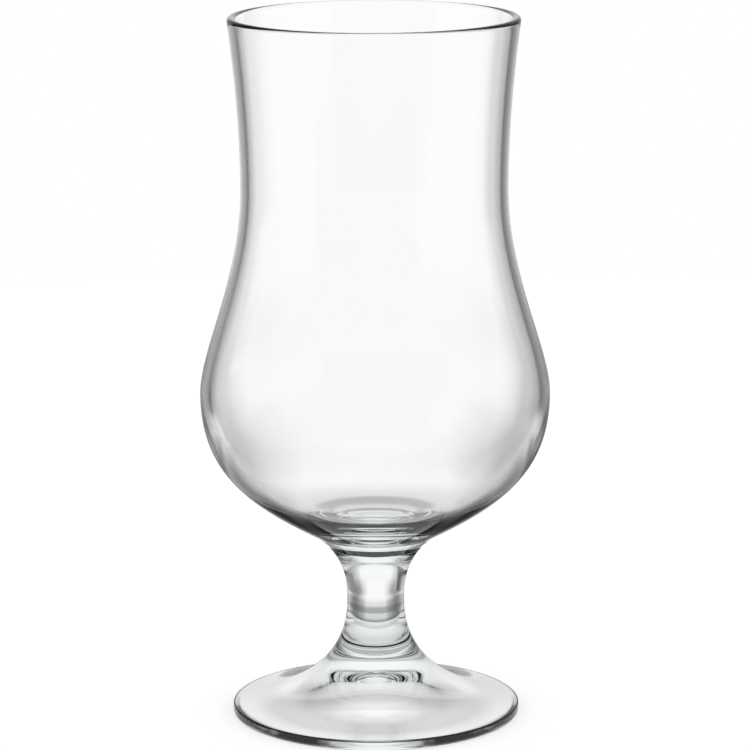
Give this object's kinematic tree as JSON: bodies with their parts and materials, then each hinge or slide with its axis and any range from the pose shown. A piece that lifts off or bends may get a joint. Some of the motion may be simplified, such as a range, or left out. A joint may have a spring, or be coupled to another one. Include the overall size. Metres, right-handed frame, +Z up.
{
  "type": "hurricane glass",
  "caption": "Footed hurricane glass: a clear tulip-shaped bowl with a rounded belly, narrow waist and flared rim, on a short flared stem and a round foot.",
  "frame": {"origin": "middle of the circle that the foot rests on", "axes": "+Z up along the axis of the glass; the glass is round, so +X and +Y are any two level directions at right angles"},
  "size_m": [0.088, 0.088, 0.1775],
  "materials": {
    "bowl_glass": "fire-polished clear soda-lime glass",
    "stem_glass": "pressed clear soda-lime glass, fire-polished",
    "foot_glass": "pressed clear soda-lime glass, slightly wavy"
  },
  "bodies": {
    "root": {"bowl": "bowl_glass", "stem": "stem_glass", "foot": "foot_glass"}
  },
  "joints": []
}
